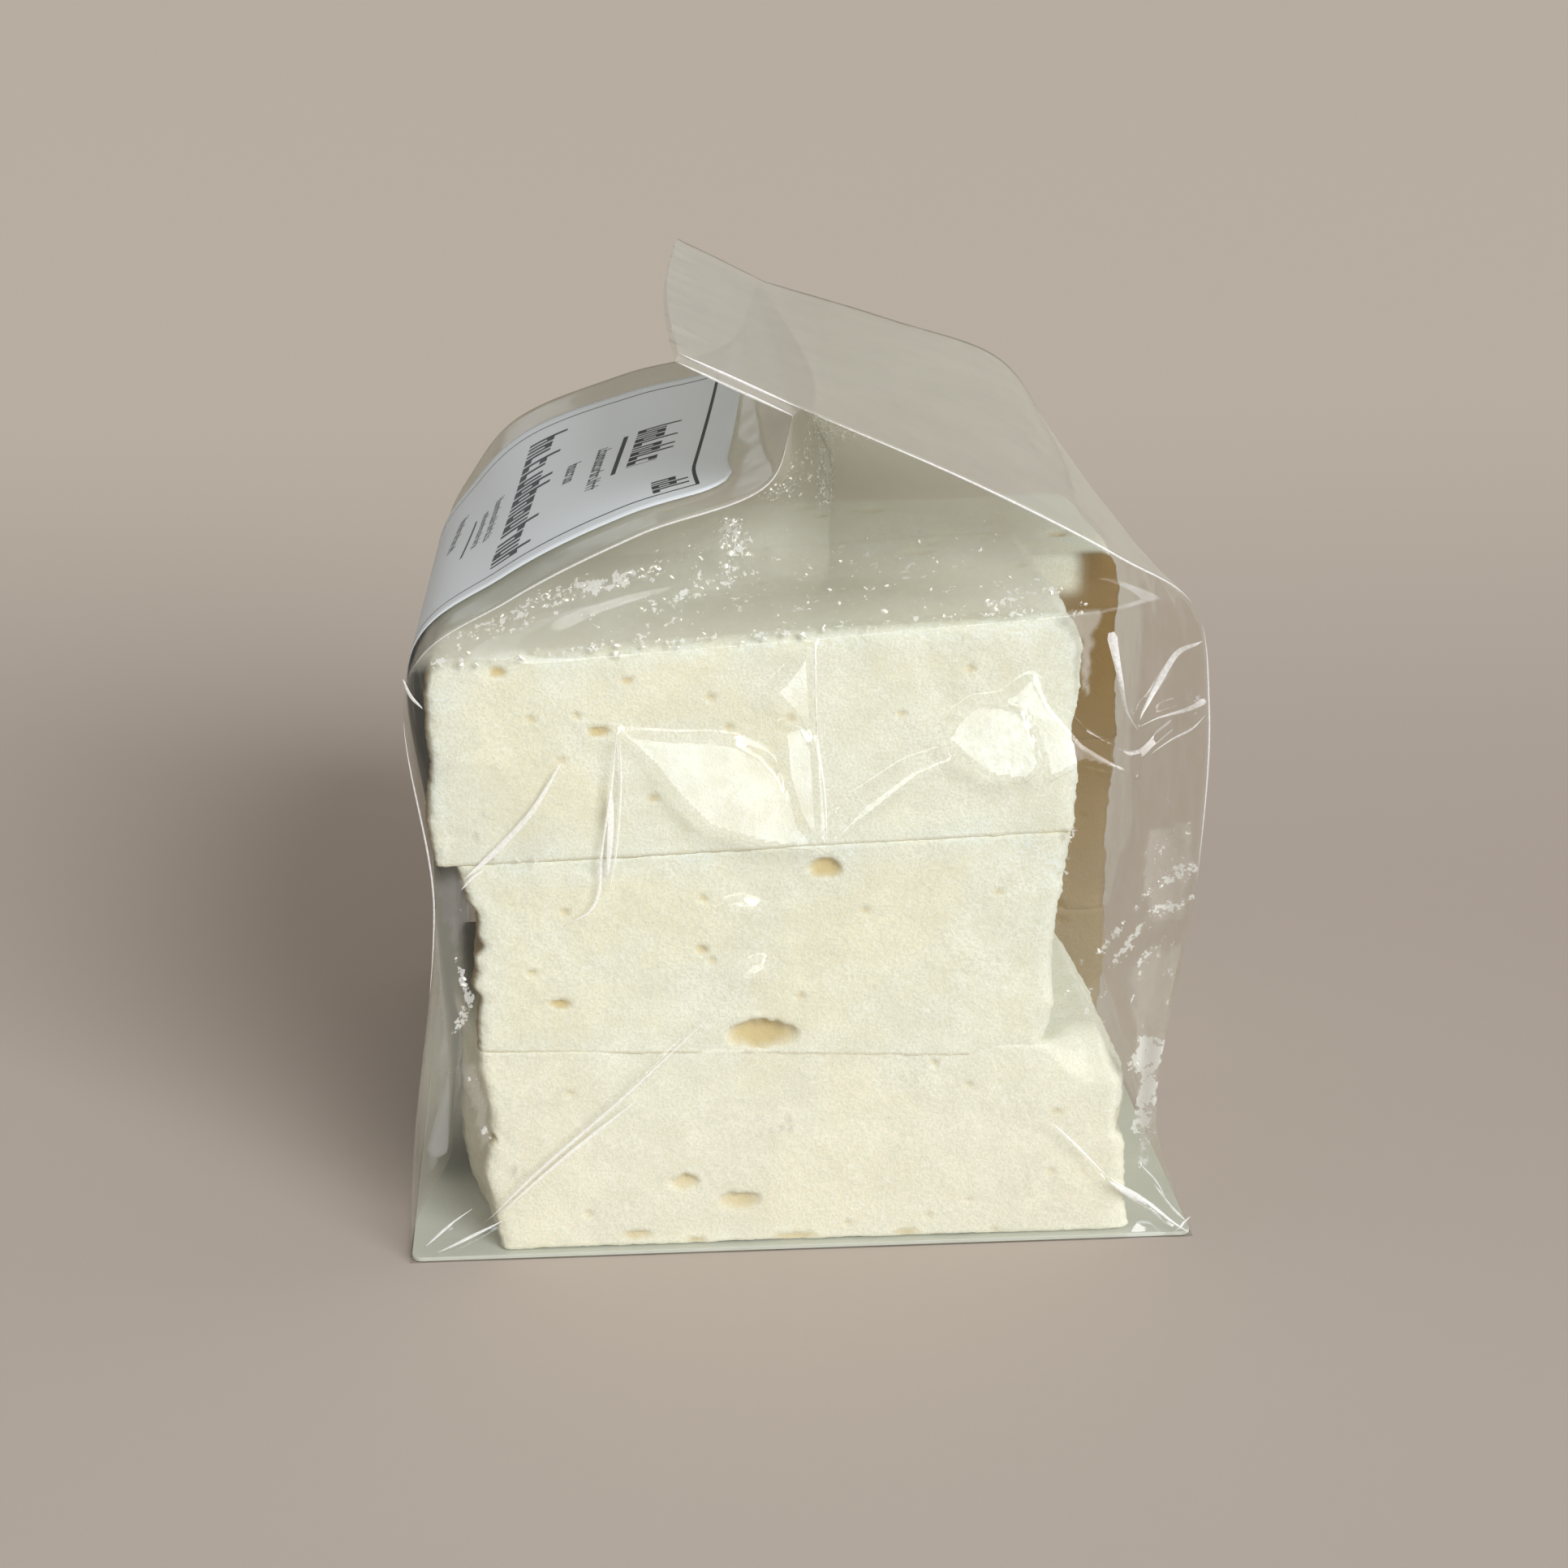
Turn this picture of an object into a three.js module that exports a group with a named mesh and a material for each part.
// A sealed clear bag of marshmallow slabs.
// The bag is a square-bottomed gusset bag that stands on a thin card. Its two wide panels lean
// together over the slabs like a roof, meet in a ridge, and end in a short flat fin. A large
// sticker wraps over the left panel.
// Millimetres, +Z up. X runs across the near gusset, Y runs from the near gusset to the far one,
// and the origin is on the table, under the middle of the base.
import * as THREE from 'three';
import { mergeVertices } from 'three/addons/utils/BufferGeometryUtils.js';

const INCH = 25.4;
const CLEARANCE = 0.3;

// Base card
const CARD_SIDE = 3.5 * INCH;
const CARD_THICKNESS = 0.6;
const CARD_CORNER_RADIUS = 1.2;
const CARD_CORNER_STEPS = 5;

// Bag
const FILM_MARGIN = 0.8; // how far the film stands out from the card's edge
const HALF_BASE = CARD_SIDE / 2 + FILM_MARGIN;
const BAG_BOTTOM = CARD_THICKNESS + CLEARANCE;
const RIDGE_HEIGHT = 97.6;
const FIN_THICKNESS = 0.9;
const FIN_BOW = 1.3; // how far the middle of the cut mouth stands out past its two ends
const GUSSET_TUCK = 44; // how far in the gusset's centre crease goes when it is folded flat
const GUSSET_CLOSING = 6; // the higher, the nearer the ridge the folded gusset closes up
const GUSSET_SAG = 6; // how far the folded gusset hangs under the roof
const WALL_INSET = 4; // the left panel is drawn in towards the slabs above the card
const INSET_RISE = 5; // height at which it is fully drawn in
const INSET_REACH = 22; // distance from the folds over which it comes in

// Label
const LABEL_LENGTH = 109;
const LABEL_WIDTH = 66;
const LABEL_THICKNESS = 0.4;
const LABEL_FOOT = 4.7; // length of bare film under the label's middle
const LABEL_STANDOFF = 0.4; // air between the film's facets and the label
const LABEL_SETBACK = 13.4; // from the near fold to the middle of the label's near edge
const LABEL_TURN = THREE.MathUtils.degToRad(6.3); // the label is stuck on askew, its top nearer
const LABEL_CORNER = 5;

// Mesh steps
const WALL_LEVELS = 20;
const WALL_CROWDING = 1.25; // levels lie closer together near the base
const ROOF_LEVELS = 14;
const FIN_LEVELS = 4;
const GUSSET_STEPS = 8; // for each half of a gusset
const PANEL_STEPS = 16;
const LABEL_ROWS = 56;
const LABEL_COLUMNS = 14;
const PATH_SAMPLES = 240;
const DIRECTION_REACH = 4; // samples each way over which a path's direction is taken
const MERGE_DISTANCE = 1e-4;

// The four long folds, each seen from the near side as [x, z]: up the wall to the eave, then in
// to the ridge. mouth is where the fin's cut edge ends.
const FOLDS = {
  nearLeft: {
    wall: [[-HALF_BASE, BAG_BOTTOM], [-44.2, 15], [-40.9, 43], [-42.4, 69.9]],
    roof: [[-42.4, 69.9], [-31.6, 77.8], [-17.9, 84.6], [-4, 90], [-1.5, RIDGE_HEIGHT - 0.5]],
    mouth: [-13.6, 103.4],
  },
  nearRight: {
    wall: [[HALF_BASE, BAG_BOTTOM], [40.4, 14.5], [43.6, 43], [44.1, 64.5], [41.8, 75.9]],
    roof: [[41.8, 75.9], [33.9, 81.1], [17.9, 89.5], [-0.6, RIDGE_HEIGHT + 0.2]],
    mouth: [-13.6, 103.4],
  },
  farRight: {
    wall: [[HALF_BASE, BAG_BOTTOM], [43.8, 30], [44.6, 68]],
    roof: [[44.6, 68], [40.2, 78.4], [34, 87.1], [18.7, 92.8], [1.6, RIDGE_HEIGHT + 0.5]],
    mouth: [-10.2, 103.6],
  },
  farLeft: {
    wall: [[-HALF_BASE, BAG_BOTTOM], [-42.5, 30], [-42.2, 64.8]],
    roof: [[-42.2, 64.8], [-38.2, 72.8], [-32.4, 79.7], [-17.4, 85.8], [-3, 90], [0.7, RIDGE_HEIGHT - 0.2]],
    mouth: [-10.2, 103.6],
  },
};
const SIDE_OF_MOUTH = { nearLeft: -1, farLeft: -1, nearRight: 1, farRight: 1 };

const mix = THREE.MathUtils.lerp;
const smooth = THREE.MathUtils.smoothstep;

// Each fold is one smooth curve; eaveShare is where along it the wall ends and the roof starts.
function foldCurve({ wall, roof, mouth }) {
  const knots = [...wall, ...roof.slice(1)].map(([x, z]) => new THREE.Vector3(x, 0, z));
  const eaveShare = (wall.length - 1) / (knots.length - 1);
  return { path: new THREE.CatmullRomCurve3(knots, false, 'centripetal'), eaveShare, mouth };
}

const foldCurves = Object.fromEntries(Object.entries(FOLDS).map(([name, fold]) => [name, foldCurve(fold)]));

// Where a fold is at a level: stage 0 is the wall, 1 the roof and 2 the fin, each with its own
// share from 0 to 1.
function foldAt(name, stage, share) {
  const { path, eaveShare, mouth } = foldCurves[name];
  if (stage === 0) return path.getPoint(eaveShare * share);
  if (stage === 1) return path.getPoint(mix(eaveShare, 1, share));
  const ridge = path.getPoint(1);
  const [mouthX, mouthZ] = mouth;
  const along = new THREE.Vector2(mouthX - ridge.x, mouthZ - ridge.z).normalize();
  const half = (FIN_THICKNESS / 2) * SIDE_OF_MOUTH[name];
  const end = new THREE.Vector3(mouthX + along.y * half, 0, mouthZ - along.x * half);
  return ridge.lerp(end, share);
}

// The left panel is drawn in between its two folds, most of all just above the card.
function inset(height, y) {
  const rise = smooth(height, BAG_BOTTOM, INSET_RISE);
  const fade = 1 - smooth(height, 12, 42);
  const fromEdge = smooth(HALF_BASE - Math.abs(y), 0, INSET_REACH);
  return WALL_INSET * rise * fade * fromEdge;
}

// A point of a wide panel, between its near and far folds.
function panelPoint(nearName, farName, stage, share, across) {
  const near = foldAt(nearName, stage, share);
  const far = foldAt(farName, stage, share);
  const point = near.lerp(far, across);
  point.y = mix(-HALF_BASE, HALF_BASE, across);
  if (nearName === 'nearLeft' && stage === 0) point.x += inset(point.z, point.y);
  if (stage === 2) point.x -= FIN_BOW * share * Math.sin(Math.PI * across);
  return point;
}

// Half a gusset runs from a fold to the centre crease, which sinks inwards under the roof.
function creasePoint(leftName, rightName, stage, share, side) {
  const left = foldAt(leftName, stage, share);
  const right = foldAt(rightName, stage, share);
  const crease = left.lerp(right, 0.5);
  crease.y = side * HALF_BASE;
  if (stage === 1) {
    const depth = GUSSET_TUCK * share * (1 - share ** GUSSET_CLOSING);
    crease.y -= side * depth;
    crease.z -= GUSSET_SAG * Math.sin(Math.PI * share) ** 2;
  }
  return crease;
}

function gussetPoints(fromName, toName, stage, share, side) {
  const start = foldAt(fromName, stage, share);
  const end = foldAt(toName, stage, share);
  start.y = side * HALF_BASE;
  end.y = side * HALF_BASE;
  const crease = creasePoint(fromName, toName, stage, share, side);
  const points = [];
  for (let i = 0; i < GUSSET_STEPS; i += 1) points.push(start.clone().lerp(crease, i / GUSSET_STEPS));
  for (let i = 0; i < GUSSET_STEPS; i += 1) points.push(crease.clone().lerp(end, i / GUSSET_STEPS));
  return points;
}

// One closed loop round the bag: near gusset, right panel, far gusset, left panel.
function ringAt(stage, share) {
  const ring = gussetPoints('nearLeft', 'nearRight', stage, share, -1);
  for (let i = 0; i < PANEL_STEPS; i += 1) {
    ring.push(panelPoint('nearRight', 'farRight', stage, share, i / PANEL_STEPS));
  }
  ring.push(...gussetPoints('farRight', 'farLeft', stage, share, 1));
  for (let i = 0; i < PANEL_STEPS; i += 1) {
    ring.push(panelPoint('nearLeft', 'farLeft', stage, share, 1 - i / PANEL_STEPS));
  }
  return ring;
}

function bagRings() {
  const rings = [];
  for (let i = 0; i < WALL_LEVELS; i += 1) rings.push(ringAt(0, (i / WALL_LEVELS) ** WALL_CROWDING));
  for (let i = 0; i < ROOF_LEVELS; i += 1) rings.push(ringAt(1, i / ROOF_LEVELS));
  for (let i = 0; i <= FIN_LEVELS; i += 1) rings.push(ringAt(2, i / FIN_LEVELS));
  return rings;
}

// Solids from points and triangles, turned so that their faces point out.
function signedVolume(points, triangles) {
  let volume = 0;
  for (const [a, b, c] of triangles) {
    volume += points[a].dot(new THREE.Vector3().crossVectors(points[b], points[c])) / 6;
  }
  return volume;
}

function solidFrom(points, triangles) {
  const outward = signedVolume(points, triangles) > 0;
  const indices = triangles.flatMap(([a, b, c]) => (outward ? [a, b, c] : [a, c, b]));
  const geometry = new THREE.BufferGeometry();
  geometry.setFromPoints(points);
  geometry.setIndex(indices);
  const merged = mergeVertices(geometry, MERGE_DISTANCE);
  merged.computeVertexNormals();
  return merged;
}

function bandBetween(triangles, lowStart, highStart, count) {
  for (let i = 0; i < count; i += 1) {
    const next = (i + 1) % count;
    triangles.push([lowStart + i, lowStart + next, highStart + next]);
    triangles.push([lowStart + i, highStart + next, highStart + i]);
  }
}

// A cap over a ring: rungs join its left and right halves, from the near crease to the far one.
function capOf(count, start, turned) {
  const half = count / 2;
  const triangles = [];
  const add = (a, b, c) => {
    if (a !== b && b !== c && a !== c) triangles.push((turned ? [a, c, b] : [a, b, c]).map((i) => start + i));
  };
  for (let rung = 0; rung < half; rung += 1) {
    const left = (GUSSET_STEPS - rung + count) % count;
    const nextLeft = (GUSSET_STEPS - rung - 1 + count) % count;
    const right = GUSSET_STEPS + rung;
    const nextRight = right + 1;
    add(left, right, nextRight);
    add(left, nextRight, nextLeft);
  }
  return triangles;
}

function loft(rings) {
  const count = rings[0].length;
  const triangles = capOf(count, 0, true);
  for (let level = 0; level + 1 < rings.length; level += 1) {
    bandBetween(triangles, level * count, (level + 1) * count, count);
  }
  triangles.push(...capOf(count, (rings.length - 1) * count, false));
  return solidFrom(rings.flat(), triangles);
}

function makeBag() {
  return loft(bagRings());
}

// The left panel's section at one y, as a line from the base to the ridge with its length so far.
function panelSection(across) {
  const line = [];
  let length = 0;
  for (let i = 0; i <= PATH_SAMPLES; i += 1) {
    const level = (2 * i) / PATH_SAMPLES;
    const stage = level < 1 ? 0 : 1;
    const point = panelPoint('nearLeft', 'farLeft', stage, level - stage, across);
    if (i > 0) length += point.distanceTo(line.at(-1).point);
    line.push({ point, length });
  }
  return line;
}

function sectionPoint(line, length, offset) {
  const found = line.findIndex((stop) => stop.length >= length);
  const index = Math.min(Math.max(found, 1), line.length - 1);
  const before = line[index - 1];
  const after = line[index];
  const share = (length - before.length) / (after.length - before.length);
  const point = before.point.clone().lerp(after.point, share);
  const low = line[Math.max(index - DIRECTION_REACH, 0)].point;
  const high = line[Math.min(index + DIRECTION_REACH, line.length - 1)].point;
  const direction = high.clone().sub(low).setY(0).normalize();
  return point.add(new THREE.Vector3(-direction.z, 0, direction.x).multiplyScalar(offset));
}

// How far a rounded corner pulls the label's edge in, at a distance from its end.
function cornerPull(fromEnd) {
  if (fromEnd >= LABEL_CORNER) return 0;
  const rest = LABEL_CORNER - fromEnd;
  return LABEL_CORNER - Math.sqrt(LABEL_CORNER ** 2 - rest ** 2);
}

// A point of the label, from its own length and width, once it is turned about its middle.
function labelPoint(length, width, offset) {
  const [up, over] = [length - LABEL_LENGTH / 2, width - LABEL_WIDTH / 2];
  const height = LABEL_FOOT + LABEL_LENGTH / 2 + up * Math.cos(LABEL_TURN) + over * Math.sin(LABEL_TURN);
  const fromFold = LABEL_SETBACK + LABEL_WIDTH / 2 + over * Math.cos(LABEL_TURN) - up * Math.sin(LABEL_TURN);
  return sectionPoint(panelSection(fromFold / (2 * HALF_BASE)), height, offset);
}

function makeLabel() {
  const points = [];
  const triangles = [];
  const rowSize = LABEL_COLUMNS + 1;
  const sheetSize = rowSize * (LABEL_ROWS + 1);
  for (const offset of [LABEL_STANDOFF, LABEL_STANDOFF + LABEL_THICKNESS]) {
    for (let row = 0; row <= LABEL_ROWS; row += 1) {
      const length = (LABEL_LENGTH * row) / LABEL_ROWS;
      const pull = cornerPull(length) + cornerPull(LABEL_LENGTH - length);
      for (let column = 0; column <= LABEL_COLUMNS; column += 1) {
        points.push(labelPoint(length, mix(pull, LABEL_WIDTH - pull, column / LABEL_COLUMNS), offset));
      }
    }
  }
  for (let row = 0; row < LABEL_ROWS; row += 1) {
    for (let column = 0; column < LABEL_COLUMNS; column += 1) {
      const a = row * rowSize + column;
      const [b, c, d] = [a + 1, a + rowSize + 1, a + rowSize];
      const [outerA, outerB, outerC, outerD] = [a, b, c, d].map((i) => i + sheetSize);
      triangles.push([a, b, c], [a, c, d]);
      triangles.push([outerA, outerC, outerB], [outerA, outerD, outerC]);
    }
  }
  const rim = [];
  for (let column = 0; column < LABEL_COLUMNS; column += 1) rim.push(column);
  for (let row = 0; row < LABEL_ROWS; row += 1) rim.push(row * rowSize + LABEL_COLUMNS);
  for (let column = LABEL_COLUMNS; column > 0; column -= 1) rim.push(LABEL_ROWS * rowSize + column);
  for (let row = LABEL_ROWS; row > 0; row -= 1) rim.push(row * rowSize);
  rim.forEach((a, i) => {
    const b = rim[(i + 1) % rim.length];
    triangles.push([a, sheetSize + a, sheetSize + b], [a, sheetSize + b, b]);
  });
  return solidFrom(points, triangles);
}

function makeCard() {
  const half = CARD_SIDE / 2;
  const radius = CARD_CORNER_RADIUS;
  const outline = new THREE.Shape();
  const corners = [[1, -1], [1, 1], [-1, 1], [-1, -1]];
  corners.forEach(([sx, sy], i) => {
    const start = (i - 1) * (Math.PI / 2);
    outline.absarc(sx * (half - radius), sy * (half - radius), radius, start, start + Math.PI / 2, false);
  });
  outline.closePath();
  const settings = { depth: CARD_THICKNESS, bevelEnabled: false, curveSegments: CARD_CORNER_STEPS };
  const plate = new THREE.ExtrudeGeometry(outline, settings);
  plate.deleteAttribute('normal');
  plate.deleteAttribute('uv');
  return mergeVertices(plate, MERGE_DISTANCE);
}

function part(name, geometry, color, roughness) {
  const mesh = new THREE.Mesh(geometry, new THREE.MeshStandardMaterial({ color, roughness, metalness: 0 }));
  mesh.name = name;
  return mesh;
}

const group = new THREE.Group();
group.add(part('base_card', makeCard(), 0xd7dacb, 0.7));
group.add(part('bag', makeBag(), 0xe8e6d0, 0.3));
group.add(part('front_label', makeLabel(), 0xeef1f2, 0.45));

export default group;
